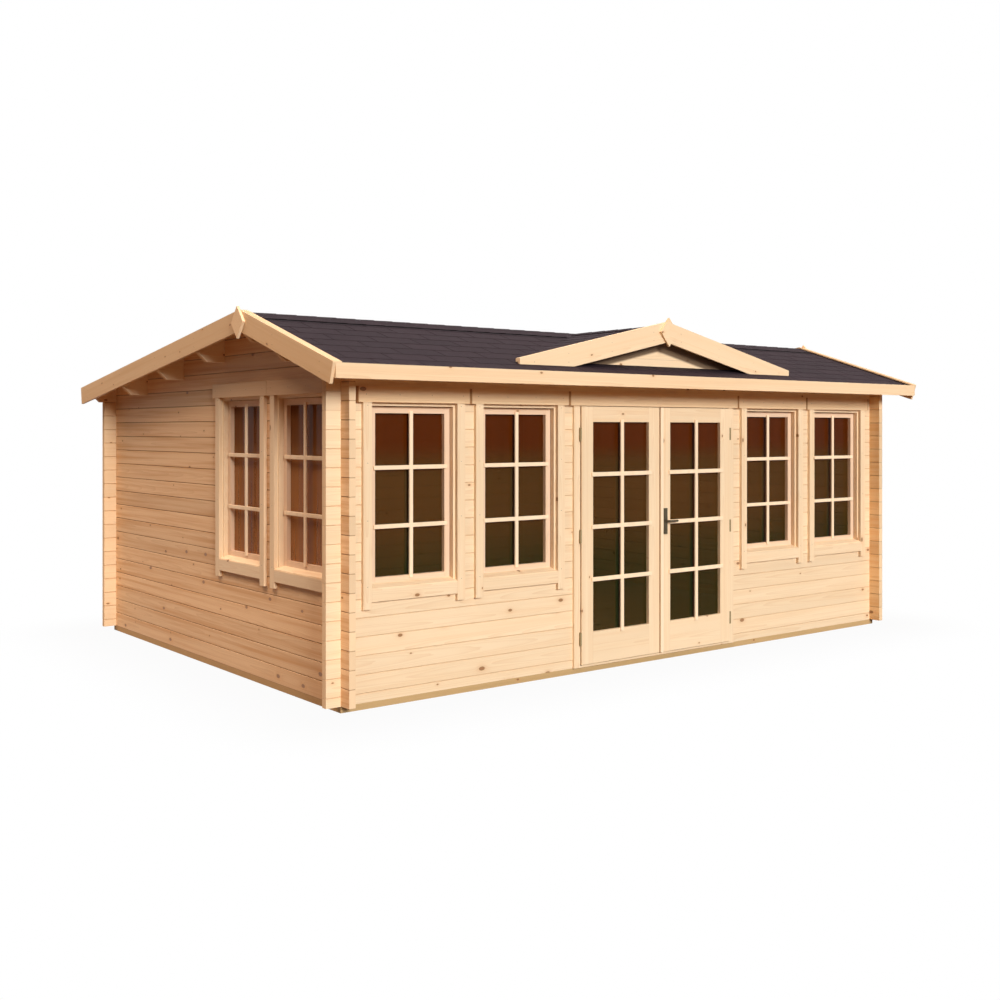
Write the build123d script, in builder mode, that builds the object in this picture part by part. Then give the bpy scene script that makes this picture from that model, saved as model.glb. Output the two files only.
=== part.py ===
from build123d import *

import os
from math import ceil, floor

# Log cabin with a double glazed door, six fixed windows and an off-centre ridge.
# Millimetres, +Z up. The origin is on the ground, in the middle of the roof's
# outline. The front, with the door, faces -Y. The gable with windows faces -X.

# Bearers and floor
bearer_height = 40
bearer_width = 70
joist_width = 45
joist_count = 9
floor_thickness = 18
floor_gap = 5

# Log walls
wall_width = 5300
wall_depth = 3800
log_height = 114
log_thickness = 44
log_end = 100
groove_depth = 4
plate_end = 192
plate_chamfer = 60
least_plate = 60

# Roof: heights are over the walls' foot, and layer thicknesses are vertical
ridge_height = 2422
ridge_setback = 920
front_slope = 0.32
rear_slope = 0.1377
front_overhang = 290
rear_overhang = 185
gable_overhang = 218
cap_thickness = 10
cap_width = 60
shingle_thickness = 6
roof_board_thickness = 18
ridge_cap_reach = 110
barge_thickness = 20
barge_height = 129
barge_rise = 6
fascia_thickness = 20
fascia_height = 89
mitre_gap = 1
purlin_width = 44
purlin_height = 165
rear_purlin_pitch = 718
rear_purlin_count = 3
front_purlin_setback = 460
roof_cut_height = 500

# Pointed covers over the joints of the bargeboards
cover_width = 172
cover_height = 210
cover_rise = 28
cover_thickness = 18

# Decorative cross gable over the door
dormer_slope = 0.228
dormer_half_width = 1373
dormer_overhang = 112
dormer_panel_setback = 100
dormer_panel_thickness = 18
dormer_barge_rise = 14
dormer_cap_width = 45
dormer_ridge_cap_reach = 100

# Windows: heights are over the walls' foot, depths are behind the wall's face; in a
# side wall, where the log joints are half a log higher, so are the windows
window_pitch = 842
window_offset = 1288
window_head = 1819
window_sill = 684
trim_width = 61
trim_thickness = 24
trim_span = 756
trim_drop = 44
sill_board_height = 77
header_height = 96
header_thickness = 28
header_gap = 4
frame_width = 660
frame_depth = 86
frame_head_thickness = 40
frame_head_drop = 21
frame_foot_thickness = 34
frame_jamb = 28
frame_step = 4
frame_gap = 2
sash_gap = 4
sash_setback = 38
sash_thickness = 40
sash_stile = 40
sash_foot = 58
stop_lap = 10
drip_reach = 20
drip_rise = 26
drip_nose = 6
glass_thickness = 4
glass_lap = 6
glass_clearance = 1
sash_glass_depth = 28

# Double door
leaf_width = 757
leaf_top = 1814
leaf_foot = 20
leaf_thickness = 42
leaf_proud = 30
leaf_stile = 106
leaf_top_rail = 108
leaf_foot_rail = 220
leaf_glass_depth = 26
meeting_gap = 8
leaf_clearance = 5
door_jamb = 32
door_casing = 54
casing_thickness = 18
door_stop = 16
threshold_height = 14

# Hinges, three a leaf, each a fixed barrel under a moving one
hinge_heights = (200, 911, 1619)
hinge_radius = 8
hinge_height = 88
hinge_slit = 1
hinge_pin_radius = 4
hinge_pin_length = 22
hinge_stud_radius = 3.5
hinge_stud_length = 25
hinge_stud_setback = 3
hinge_pin_clearance = 0.3
hinge_face_gap = 1
hinge_edge_gap = 1

# Lever handle on the leaf that opens first
handle_height = 980
plate_width = 34
plate_height = 190
plate_thickness = 8
lever_length = 100
lever_section = 16
lever_standoff = 36
neck_radius = 9
neck_gap = 0.5
spindle_radius = 5
spindle_hole_radius = 8

foot = bearer_height
half_width = wall_width / 2
half_roof = half_width + gable_overhang
half_boards = half_roof - barge_thickness
front_y = (front_overhang - wall_depth - rear_overhang) / 2
rear_y = front_y + wall_depth
eave_front = front_y - front_overhang
eave_rear = rear_y + rear_overhang
ridge_y = front_y + ridge_setback
ridge_z = foot + ridge_height
shingle_drop = cap_thickness
board_drop = shingle_drop + shingle_thickness
under_drop = board_drop + roof_board_thickness
barge_drop = shingle_drop - barge_rise


def roof_height(y, drop=0):
    """Height over y of the line of the main roof, or of a layer drop below it."""
    if y < ridge_y:
        return ridge_z - front_slope * (ridge_y - y) - drop
    return ridge_z - rear_slope * (y - ridge_y) - drop


def block(x_span, y_span, z_span, mode=Mode.ADD):
    """A box between two values of x, of y and of z."""
    middle = [(low + high) / 2 for low, high in (x_span, y_span, z_span)]
    with Locations(tuple(middle)):
        Box(
            x_span[1] - x_span[0],
            y_span[1] - y_span[0],
            z_span[1] - z_span[0],
            mode=mode,
        )


def prisms_x(outlines, x_span, mode=Mode.ADD):
    """Prisms along X, each over an outline of (y, z) points."""
    with BuildSketch(Plane.YZ.offset(x_span[0])) as profile:
        for points in outlines:
            with BuildLine():
                Polyline(*points, close=True)
            make_face()
    extrude(profile.sketch, amount=x_span[1] - x_span[0], mode=mode)


def prism_x(points, x_span, mode=Mode.ADD):
    """A prism along X over an outline of (y, z) points."""
    prisms_x([points], x_span, mode)


def prisms_y(outlines, y_span, mode=Mode.ADD):
    """Prisms along Y, each over an outline of (x, z) points."""
    with BuildSketch(Plane.XZ.offset(-y_span[0])) as profile:
        for points in outlines:
            with BuildLine():
                Polyline(*points, close=True)
            make_face()
    extrude(profile.sketch, amount=y_span[0] - y_span[1], mode=mode)


def prism_y(points, y_span, mode=Mode.ADD):
    """A prism along Y over an outline of (x, z) points."""
    prisms_y([points], y_span, mode)


def slope_outline(y_span, top_drop, bottom_drop):
    """Outline in Y and Z of a layer of the main roof, over one slope or both."""
    stations = [y_span[0], y_span[1]]
    if y_span[0] < ridge_y < y_span[1]:
        stations.insert(1, ridge_y)
    top = [(y, roof_height(y, top_drop)) for y in stations]
    bottom = [(y, roof_height(y, bottom_drop)) for y in reversed(stations)]
    return top + bottom


def save(name, piece):
    """Labels a finished piece and writes it under its own name."""
    piece.label = name
    export_step(piece, f"parts/{name}.step")


os.makedirs("parts", exist_ok=True)

# Windows by the wall that they are in and their centre along it
front_windows = [
    side * (window_offset + step * window_pitch) for side in (-1, 1) for step in (0, 1)
]
left_windows = [ridge_y - window_pitch / 2, ridge_y + window_pitch / 2]
windows = [("front", u) for u in front_windows] + [("left", u) for u in left_windows]
wall_lift = {"front": 0, "left": log_height / 2}
hole_half = frame_width / 2 + frame_gap
hole_foot = foot + window_sill - frame_foot_thickness - frame_gap
hole_head = foot + window_head - frame_head_drop + frame_head_thickness + frame_gap
door_half = meeting_gap / 2 + leaf_width
jamb_inner = door_half + leaf_clearance
jamb_outer = jamb_inner + door_jamb
door_hole_half = jamb_outer + frame_gap
header_foot = foot + window_head
lintel_course = floor((hole_head - foot) / log_height - 0.5)
lintel_foot = foot + (lintel_course + 0.5) * log_height


def wall_block(wall, u_span, depth_span, z_span, mode=Mode.ADD):
    """A box set by its place along a wall and its depth behind the outer face."""
    z_span = [z + wall_lift[wall] for z in z_span]
    if wall == "front":
        y_span = (front_y + depth_span[0], front_y + depth_span[1])
        block(u_span, y_span, z_span, mode)
    else:
        x_span = (-half_width + depth_span[0], -half_width + depth_span[1])
        block(x_span, u_span, z_span, mode)


def wall_prism(wall, points, u_span):
    """A prism along a wall over an outline of (depth, z) points."""
    points = [(depth, z + wall_lift[wall]) for depth, z in points]
    if wall == "front":
        prism_x([(front_y + depth, z) for depth, z in points], u_span)
    else:
        prism_y([(depth - half_width, z) for depth, z in points], u_span)


def groove_outlines(faces, joints):
    """Diamonds centred on the wall faces, one a face and log joint."""
    outlines = []
    for face in faces:
        for z in joints:
            outlines.append(
                [
                    (face - groove_depth, z),
                    (face, z + groove_depth),
                    (face + groove_depth, z),
                    (face, z - groove_depth),
                ]
            )
    return outlines


def joints_between(low, high, offset):
    """Heights of the log joints between two heights, by the wall's offset."""
    count = ceil((high - foot) / log_height) + 1
    heights = [foot + (course + offset) * log_height for course in range(count)]
    return [z for z in heights if low + groove_depth < z < high - groove_depth]


def corner_slots(x_span, y_span, side_logs):
    """Cuts the notches at a corner: the other wall's half of each course."""
    offset = 0.5 if side_logs else 0
    half = log_height / 4
    outlines = []
    for course in range(ceil(ridge_height / log_height) + 1):
        z = foot + (course + offset) * log_height
        low, high = z - half, z + half
        outlines.append(
            [(x_span[0], low), (x_span[1], low), (x_span[1], high), (x_span[0], high)]
        )
    prisms_y(outlines, y_span, Mode.SUBTRACT)


def long_wall(face_y, inward, z_span, x_spans, plate):
    """Logs along X with notched corners, cut to the roof's underside."""
    back_y = face_y + inward * log_thickness
    y_span = (min(face_y, back_y), max(face_y, back_y))
    roof_top = max(roof_height(y, under_drop) for y in y_span)
    top = min(z_span[1], roof_top)
    for x_span in x_spans:
        block(x_span, y_span, (z_span[0], top))
    reach = half_width + log_end
    joints = joints_between(z_span[0], top, 0.5)
    grooves = groove_outlines((face_y, back_y), joints)
    prisms_x(grooves, (-reach, reach), Mode.SUBTRACT)
    if plate:
        lowest = min(roof_height(y, under_drop) for y in y_span)
        course = floor((lowest - least_plate - foot) / log_height - 0.5)
        plate_foot = foot + (course + 0.5) * log_height
        tip = half_width + plate_end
        slant = plate_foot + plate_chamfer
        outline = [
            (-tip, top),
            (-tip, slant),
            (-tip + plate_chamfer, plate_foot),
            (tip - plate_chamfer, plate_foot),
            (tip, slant),
            (tip, top),
        ]
        prism_y(outline, y_span)
    for side in (-1, 1):
        inner = side * (half_width - log_thickness)
        x_pair = (min(inner, side * half_width), max(inner, side * half_width))
        corner_slots(x_pair, y_span, True)
    if top == roof_top:
        over = slope_outline((y_span[0] - 1, y_span[1] + 1), -roof_cut_height, under_drop)
        prism_x(over, (-half_roof, half_roof), Mode.SUBTRACT)


def gable_wall(side):
    """Logs along Y under both slopes, with pockets for the ridge and purlins."""
    face_x = side * half_width
    back_x = side * (half_width - log_thickness)
    x_span = (min(face_x, back_x), max(face_x, back_x))
    y_span = (front_y - log_end, rear_y + log_end)
    outline = [
        (y_span[0], foot),
        (y_span[0], roof_height(y_span[0], under_drop)),
        (ridge_y, roof_height(ridge_y, under_drop)),
        (y_span[1], roof_height(y_span[1], under_drop)),
        (y_span[1], foot),
    ]
    prism_x(outline, x_span)
    joints = joints_between(foot, roof_height(ridge_y, under_drop), 0)
    prisms_y(groove_outlines((face_x, back_x), joints), y_span, Mode.SUBTRACT)
    for face_y, inward in ((front_y, 1), (rear_y, -1)):
        back_y = face_y + inward * log_thickness
        y_pair = (min(face_y, back_y), max(face_y, back_y))
        corner_slots(x_span, y_pair, False)
    for outline in [ridge_outline] + purlin_outlines:
        prism_x(outline, x_span, Mode.SUBTRACT)


# Roof timbers: the outline of each in Y and Z, topped by the roof boards
def purlin_outline(y):
    """Section of a purlin whose middle is at y, its top on the slope's line."""
    low, high = y - purlin_width / 2, y + purlin_width / 2
    base = roof_height(y, under_drop) - purlin_height
    return [
        (low, base),
        (low, roof_height(low, under_drop)),
        (high, roof_height(high, under_drop)),
        (high, base),
    ]


purlin_places = [ridge_y - front_purlin_setback]
for step in range(1, rear_purlin_count + 1):
    purlin_places.append(ridge_y + step * rear_purlin_pitch)
purlin_outlines = [purlin_outline(y) for y in purlin_places]
ridge_low = ridge_y - purlin_width / 2
ridge_high = ridge_y + purlin_width / 2
ridge_base = roof_height(ridge_y, under_drop) - purlin_height
ridge_outline = [
    (ridge_low, ridge_base),
    (ridge_low, roof_height(ridge_low, under_drop)),
    (ridge_y, roof_height(ridge_y, under_drop)),
    (ridge_high, roof_height(ridge_high, under_drop)),
    (ridge_high, ridge_base),
]
beam_reach = half_width + plate_end


def chamfer_beam_ends(y_span, base):
    """Takes the lower corner off both ends of a roof timber."""
    for side in (-1, 1):
        corner = [
            (side * (beam_reach - plate_chamfer), base),
            (side * beam_reach, base + plate_chamfer),
            (side * (beam_reach + 1), base + plate_chamfer),
            (side * (beam_reach + 1), base - 1),
            (side * (beam_reach - plate_chamfer), base - 1),
        ]
        prism_y(corner, y_span, Mode.SUBTRACT)


# Perimeter bearers and floor joists, halved together
with BuildPart() as bearers:
    for side in (-1, 1):
        x_pair = sorted((side * half_width, side * (half_width - bearer_width)))
        block(x_pair, (front_y, rear_y), (0, bearer_height))
    for y in (front_y, rear_y - bearer_width):
        block((-half_width, half_width), (y, y + bearer_width), (0, bearer_height))
    joist_pitch = (wall_width - bearer_width) / (joist_count + 1)
    for index in range(1, joist_count + 1):
        x = -half_width + bearer_width / 2 + index * joist_pitch
        x_pair = (x - joist_width / 2, x + joist_width / 2)
        block(x_pair, (front_y, rear_y), (0, bearer_height))
save("bearers", bearers.part)

with BuildPart() as floor_boards:
    reach = half_width - log_thickness - floor_gap
    inset = log_thickness + floor_gap
    y_pair = (front_y + inset, rear_y - inset)
    block((-reach, reach), y_pair, (foot, foot + floor_thickness))
save("floor_boards", floor_boards.part)

# Front wall: a stack each side of the doorway, and full-length logs over it
for side, name in ((-1, "front_wall_left"), (1, "front_wall_right")):
    outer = side * (half_width + log_end)
    span = sorted((outer, side * door_hole_half))
    with BuildPart() as stack:
        long_wall(front_y, 1, (foot, lintel_foot), [span], False)
        for u in front_windows:
            if span[0] < u < span[1]:
                hole = (u - hole_half, u + hole_half)
                depth = (-1, log_thickness + 1)
                wall_block("front", hole, depth, (hole_foot, hole_head), Mode.SUBTRACT)
    save(name, stack.part)

with BuildPart() as front_wall_top:
    reach = half_width + log_end
    long_wall(front_y, 1, (lintel_foot, ridge_z), [(-reach, reach)], True)
    depth = (-1, log_thickness + 1)
    for u in front_windows:
        hole = (u - hole_half, u + hole_half)
        wall_block("front", hole, depth, (hole_foot, hole_head), Mode.SUBTRACT)
    hole = (-door_hole_half, door_hole_half)
    wall_block("front", hole, depth, (foot, hole_head), Mode.SUBTRACT)
save("front_wall_top", front_wall_top.part)

with BuildPart() as rear_wall:
    reach = half_width + log_end
    long_wall(rear_y, -1, (foot, ridge_z), [(-reach, reach)], True)
save("rear_wall", rear_wall.part)

with BuildPart() as left_wall:
    gable_wall(-1)
    for u in left_windows:
        hole = (u - hole_half, u + hole_half)
        depth = (-1, log_thickness + 1)
        wall_block("left", hole, depth, (hole_foot, hole_head), Mode.SUBTRACT)
save("left_wall", left_wall.part)

with BuildPart() as right_wall:
    gable_wall(1)
save("right_wall", right_wall.part)

with BuildPart() as ridge_beam:
    prism_x(ridge_outline, (-beam_reach, beam_reach))
    chamfer_beam_ends((ridge_low, ridge_high), ridge_base)
save("ridge_beam", ridge_beam.part)

with BuildPart() as purlins:
    for outline in purlin_outlines:
        prism_x(outline, (-beam_reach, beam_reach))
        chamfer_beam_ends((outline[0][0], outline[3][0]), outline[0][1])
save("purlins", purlins.part)

# Roof covering: boards and shingles a slope, a folded cap over the ridge
board_span_front = (eave_front + fascia_thickness, ridge_y)
board_span_rear = (ridge_y, eave_rear - fascia_thickness)
for name, y_span, drops in (
    ("roof_boards_front", board_span_front, (board_drop, under_drop)),
    ("roof_boards_rear", board_span_rear, (board_drop, under_drop)),
    ("shingles_front", board_span_front, (shingle_drop, board_drop)),
    ("shingles_rear", board_span_rear, (shingle_drop, board_drop)),
):
    with BuildPart() as layer:
        outline = slope_outline(y_span, *drops)
        prism_x(outline, (-half_boards, half_boards))
    save(name, layer.part)

cap_inner = half_roof - cap_width
valley_half = front_slope * ridge_cap_reach / dormer_slope + mitre_gap
with BuildPart() as ridge_cap:
    y_span = (ridge_y - ridge_cap_reach, ridge_y + ridge_cap_reach)
    outline = slope_outline(y_span, shingle_drop - shingle_thickness, shingle_drop)
    prism_x(outline, (-cap_inner, cap_inner))
    notch = (ridge_y - ridge_cap_reach - 1, ridge_y)
    block((-valley_half, valley_half), notch, (foot, ridge_z + 1), Mode.SUBTRACT)
save("ridge_cap", ridge_cap.part)

for name, y_span, eave in (
    ("fascia_front", (eave_front, eave_front + fascia_thickness), eave_front),
    ("fascia_rear", (eave_rear - fascia_thickness, eave_rear), eave_rear),
):
    with BuildPart() as fascia:
        top = roof_height(eave)
        block((-half_boards, half_boards), y_span, (top - fascia_height, top))
        cap_span = (y_span[0] - 1, y_span[1] + 1)
        under_cap = slope_outline(cap_span, -cap_thickness, barge_drop)
        for side in (-1, 1):
            x_pair = sorted((side * cap_inner, side * (half_boards + 1)))
            prism_x(under_cap, x_pair, Mode.SUBTRACT)
    save(name, fascia.part)


def barge_outline(inner, eave, slope):
    """A bargeboard in Y and Z, cut plumb at the ridge and square at the eave."""
    bottom = barge_drop + barge_height
    inset = barge_height * slope / (1 + slope**2)
    heel = eave + inset if eave < ridge_y else eave - inset
    return [
        (inner, roof_height(inner, barge_drop)),
        (eave, roof_height(eave, barge_drop)),
        (heel, roof_height(heel, bottom)),
        (inner, roof_height(inner, bottom)),
    ]


for side, word in ((-1, "left"), (1, "right")):
    with BuildPart() as bargeboards:
        x_pair = sorted((side * half_boards, side * half_roof))
        prism_x(barge_outline(ridge_y - mitre_gap / 2, eave_front, front_slope), x_pair)
        prism_x(barge_outline(ridge_y + mitre_gap / 2, eave_rear, rear_slope), x_pair)
    save(f"bargeboards_{word}", bargeboards.part)
    with BuildPart() as gable_cap:
        x_pair = sorted((side * cap_inner, side * half_roof))
        outline = slope_outline((eave_front, eave_rear), barge_drop - cap_thickness, barge_drop)
        prism_x(outline, x_pair)
    save(f"gable_cap_{word}", gable_cap.part)

# Cross gable over the door. Its ridge is level and runs into the main ridge.
dormer_face = front_y - dormer_overhang
dormer_back = dormer_face + barge_thickness
panel_face = dormer_face + dormer_panel_setback
apex_z = ridge_z - shingle_drop
main_roof_under = [
    (eave_front - 1, foot),
    (eave_front - 1, roof_height(eave_front - 1, shingle_drop)),
    (ridge_y, roof_height(ridge_y, shingle_drop)),
    (ridge_y + 1, roof_height(ridge_y + 1, shingle_drop)),
    (ridge_y + 1, foot),
]


def dormer_outline(rise, thickness, half):
    """Folded layer in X and Z: rise is over the cross gable's shingles."""
    top = apex_z + rise
    fall = dormer_slope * half
    return [
        (-half, top - fall),
        (0, top),
        (half, top - fall),
        (half, top - fall - thickness),
        (0, top - thickness),
        (-half, top - fall - thickness),
    ]


def cut_main_roof():
    """Takes away what lies under the main roof's shingles."""
    prism_x(main_roof_under, (-half_boards, half_boards), Mode.SUBTRACT)


with BuildPart() as dormer_panel:
    top = apex_z - shingle_thickness - roof_board_thickness
    half = dormer_half_width
    fall = dormer_slope * half
    outline = [(-half, top - fall), (0, top), (half, top - fall), (half, foot), (-half, foot)]
    prism_y(outline, (panel_face, panel_face + dormer_panel_thickness))
    cut_main_roof()
save("dormer_panel", dormer_panel.part)

with BuildPart() as dormer_boards:
    outline = dormer_outline(-shingle_thickness, roof_board_thickness, dormer_half_width)
    prism_y(outline, (dormer_back, ridge_y))
    cut_main_roof()
save("dormer_boards", dormer_boards.part)

with BuildPart() as dormer_shingles:
    outline = dormer_outline(0, shingle_thickness, dormer_half_width)
    prism_y(outline, (dormer_back, ridge_y))
    cut_main_roof()
save("dormer_shingles", dormer_shingles.part)

with BuildPart() as dormer_ridge_cap:
    outline = dormer_outline(shingle_thickness, shingle_thickness, dormer_ridge_cap_reach)
    prism_y(outline, (dormer_face + dormer_cap_width, ridge_y))
    cut_main_roof()
save("dormer_ridge_cap", dormer_ridge_cap.part)

with BuildPart() as dormer_bargeboards:
    half = dormer_half_width
    outline = dormer_outline(dormer_barge_rise, barge_height + cap_thickness, half)
    prism_y(outline, (dormer_face, dormer_back))
    split_span = (-mitre_gap / 2, mitre_gap / 2)
    y_span = (dormer_face - 1, dormer_back + 1)
    block(split_span, y_span, (foot, ridge_z + cover_rise), Mode.SUBTRACT)
    cut_main_roof()
save("dormer_bargeboards", dormer_bargeboards.part)

with BuildPart() as dormer_cap:
    half = dormer_half_width
    rise = dormer_barge_rise + cap_thickness
    outline = dormer_outline(rise, cap_thickness, half)
    prism_y(outline, (dormer_face, dormer_face + dormer_cap_width))
    outline = dormer_outline(dormer_barge_rise, dormer_barge_rise, half)
    prism_y(outline, (dormer_back, dormer_face + dormer_cap_width))
save("dormer_cap", dormer_cap.part)


def cover_outline(top):
    """Four-pointed outline of an apex cover with its upper point at top."""
    middle = top - cover_height / 2
    half = cover_width / 2
    return [(0, top), (half, middle), (0, top - cover_height), (-half, middle)]


with BuildPart() as apex_covers:
    for side in (-1, 1):
        x_pair = sorted((side * half_roof, side * (half_roof + cover_thickness)))
        outline = cover_outline(ridge_z + cover_rise)
        prism_x([(ridge_y + y, z) for y, z in outline], x_pair)
    dormer_top = apex_z + dormer_barge_rise + cap_thickness + cover_rise
    y_span = (dormer_face - cover_thickness, dormer_face)
    prism_y(cover_outline(dormer_top), y_span)
save("apex_covers", apex_covers.part)

# Windows: a frame in each hole, trim over its edge, a fixed sash and one pane
trim_inner = trim_span / 2 - trim_width
frame_half = frame_width / 2
frame_inner = frame_half - frame_jamb
sash_half = frame_inner - sash_gap
sash_inner = sash_half - sash_stile
sill_z = foot + window_sill
frame_head = header_foot - frame_head_drop
frame_z = (sill_z - frame_foot_thickness, frame_head + frame_head_thickness)
sash_z = (sill_z + sash_gap, frame_head - sash_gap)
pane_z = (sash_z[0] + sash_foot, sash_z[1] - sash_stile)
sash_back = sash_setback + sash_thickness
glass_face = sash_setback + sash_glass_depth

with BuildPart() as window_frames:
    for wall, u in windows:
        span = (u - frame_half, u + frame_half)
        wall_block(wall, span, (0, frame_depth), frame_z)
        span = (u - trim_inner, u + trim_inner)
        wall_block(wall, span, (0, frame_step), (sill_z, header_foot), Mode.SUBTRACT)
        span = (u - frame_inner, u + frame_inner)
        wall_block(wall, span, (0, sash_back), (sill_z, frame_head), Mode.SUBTRACT)
        half = frame_inner - stop_lap
        span = (u - half, u + half)
        stop_z = (sill_z + stop_lap, frame_head - stop_lap)
        wall_block(wall, span, (0, frame_depth), stop_z, Mode.SUBTRACT)
save("window_frames", window_frames.part)

with BuildPart() as window_trim:
    for wall, u in windows:
        outer = trim_span / 2
        trim_foot = sill_z - sill_board_height
        for side in (-1, 1):
            span = sorted((u + side * trim_inner, u + side * outer))
            z_span = (trim_foot - trim_drop, header_foot)
            wall_block(wall, span, (-trim_thickness, 0), z_span)
        span = (u - trim_inner, u + trim_inner)
        wall_block(wall, span, (-trim_thickness, 0), (trim_foot, sill_z))
        drip_slope = (drip_rise - drip_nose) / (sash_setback + drip_reach)
        step_z = sill_z + drip_rise - drip_slope * (sash_setback - frame_step)
        outline = [
            (-drip_reach, sill_z),
            (-drip_reach, sill_z + drip_nose),
            (frame_step, step_z),
            (frame_step, sill_z),
        ]
        wall_prism(wall, outline, span)
        outline = [
            (frame_step, sill_z),
            (frame_step, step_z),
            (sash_setback, sill_z + drip_rise),
            (sash_setback, sill_z),
        ]
        wall_prism(wall, outline, (u - frame_inner, u + frame_inner))
save("window_trim", window_trim.part)

with BuildPart() as window_sashes:
    for wall, u in windows:
        depth = (sash_setback, sash_back)
        wall_block(wall, (u - sash_half, u + sash_half), depth, sash_z)
        span = (u - sash_inner, u + sash_inner)
        wall_block(wall, span, depth, pane_z, Mode.SUBTRACT)
        half = sash_inner + glass_lap
        z_span = (pane_z[0] - glass_lap, pane_z[1] + glass_lap)
        rebate = (glass_face, sash_back)
        wall_block(wall, (u - half, u + half), rebate, z_span, Mode.SUBTRACT)
save("window_sashes", window_sashes.part)

with BuildPart() as window_glass:
    grow = glass_lap - glass_clearance
    for wall, u in windows:
        half = sash_inner + grow
        z_span = (pane_z[0] - grow, pane_z[1] + grow)
        depth = (glass_face, glass_face + glass_thickness)
        wall_block(wall, (u - half, u + half), depth, z_span)
save("window_glass", window_glass.part)

with BuildPart() as header_boards:
    z_span = (header_foot, header_foot + header_height)
    for wall, u in windows:
        half = (window_pitch - header_gap) / 2
        wall_block(wall, (u - half, u + half), (-header_thickness, 0), z_span)
    half = window_offset - (window_pitch + header_gap) / 2
    wall_block("front", (-half, half), (-header_thickness, 0), z_span)
save("header_boards", header_boards.part)

# Doorway: frame, threshold, two leaves and their panes
head_z = foot + leaf_top + leaf_clearance
leaf_z = (foot + leaf_foot, foot + leaf_top)
leaf_back = leaf_thickness - leaf_proud
stop_face = leaf_back + leaf_clearance
head_top = hole_head - frame_gap

with BuildPart() as door_frame:
    for side in (-1, 1):
        span = sorted((side * jamb_inner, side * (jamb_inner + door_casing)))
        wall_block("front", span, (-casing_thickness, 0), (foot, header_foot))
        span = sorted((side * jamb_inner, side * jamb_outer))
        wall_block("front", span, (0, log_thickness), (foot, head_top))
        span = sorted((side * (jamb_inner - door_stop), side * jamb_inner))
        wall_block("front", span, (stop_face, log_thickness), (foot, head_z))
    span = (-jamb_inner, jamb_inner)
    wall_block("front", span, (0, log_thickness), (head_z, head_top))
    depth = (stop_face, log_thickness)
    wall_block("front", span, depth, (head_z - door_stop, head_z))
save("door_frame", door_frame.part)

with BuildPart() as threshold:
    z_span = (foot, foot + threshold_height)
    depth = (-casing_thickness, stop_face)
    wall_block("front", (-jamb_inner, jamb_inner), depth, z_span)
    half = jamb_inner - door_stop
    wall_block("front", (-half, half), (stop_face, log_thickness), z_span)
save("threshold", threshold.part)

# Hinge barrels stand beside the leaf's edge, over the face of the casing
hinge_x = door_half + hinge_edge_gap + hinge_radius
hinge_depth = -casing_thickness - hinge_face_gap - hinge_radius
hinge_y = front_y + hinge_depth
stud_y = hinge_y + hinge_stud_setback
half_barrel = (hinge_height - hinge_slit) / 2
lever_x = meeting_gap / 2 + leaf_stile / 2
lever_z = foot + handle_height


def rod_y(x, z, y_span, radius, mode=Mode.ADD):
    """A round bar along Y."""
    with Locations(Location((x, (y_span[0] + y_span[1]) / 2, z), (90, 0, 0))):
        Cylinder(radius, y_span[1] - y_span[0], mode=mode)


def rod_x(x_span, y, z, radius, mode=Mode.ADD):
    """A round bar along X."""
    with Locations(Location(((x_span[0] + x_span[1]) / 2, y, z), (0, 90, 0))):
        Cylinder(radius, x_span[1] - x_span[0], mode=mode)


def rod_z(x, y, z_span, radius, mode=Mode.ADD):
    """A round bar along Z."""
    with Locations((x, y, (z_span[0] + z_span[1]) / 2)):
        Cylinder(radius, z_span[1] - z_span[0], mode=mode)


for side, word in ((-1, "left"), (1, "right")):
    with BuildPart() as leaf:
        span = sorted((side * meeting_gap / 2, side * door_half))
        depth = (-leaf_proud, leaf_back)
        wall_block("front", span, depth, leaf_z)
        opening = (span[0] + leaf_stile, span[1] - leaf_stile)
        opening_z = (leaf_z[0] + leaf_foot_rail, leaf_z[1] - leaf_top_rail)
        wall_block("front", opening, depth, opening_z, Mode.SUBTRACT)
        pane_face = leaf_glass_depth - leaf_proud
        lapped = (opening[0] - glass_lap, opening[1] + glass_lap)
        lapped_z = (opening_z[0] - glass_lap, opening_z[1] + glass_lap)
        wall_block("front", lapped, (pane_face, leaf_back), lapped_z, Mode.SUBTRACT)
        for height in hinge_heights:
            z = foot + height + (half_barrel + hinge_slit) / 2
            tip = side * (door_half - hinge_stud_length)
            hole = sorted((tip, side * door_half))
            rod_x(hole, stud_y, z, hinge_stud_radius, Mode.SUBTRACT)
        if side == 1:
            y_span = (front_y - leaf_proud - 1, front_y + leaf_back + 1)
            rod_y(lever_x, lever_z, y_span, spindle_hole_radius, Mode.SUBTRACT)
    save(f"door_leaf_{word}", leaf.part)
    with BuildPart() as pane:
        grow = glass_lap - glass_clearance
        span = (opening[0] - grow, opening[1] + grow)
        z_span = (opening_z[0] - grow, opening_z[1] + grow)
        depth = (pane_face, pane_face + glass_thickness)
        wall_block("front", span, depth, z_span)
    save(f"door_glass_{word}", pane.part)
    with BuildPart() as upper_barrels:
        for height in hinge_heights:
            middle = foot + height
            z_span = (middle + hinge_slit / 2, middle + hinge_height / 2)
            rod_z(side * hinge_x, hinge_y, z_span, hinge_radius)
            z = foot + height + (half_barrel + hinge_slit) / 2
            tip = side * (door_half - hinge_stud_length)
            rod_x(sorted((tip, side * hinge_x)), stud_y, z, hinge_stud_radius)
            bore = (middle, middle + hinge_pin_length + hinge_pin_clearance)
            radius = hinge_pin_radius + hinge_pin_clearance
            rod_z(side * hinge_x, hinge_y, bore, radius, Mode.SUBTRACT)
    save(f"leaf_hinges_{word}", upper_barrels.part)

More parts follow.
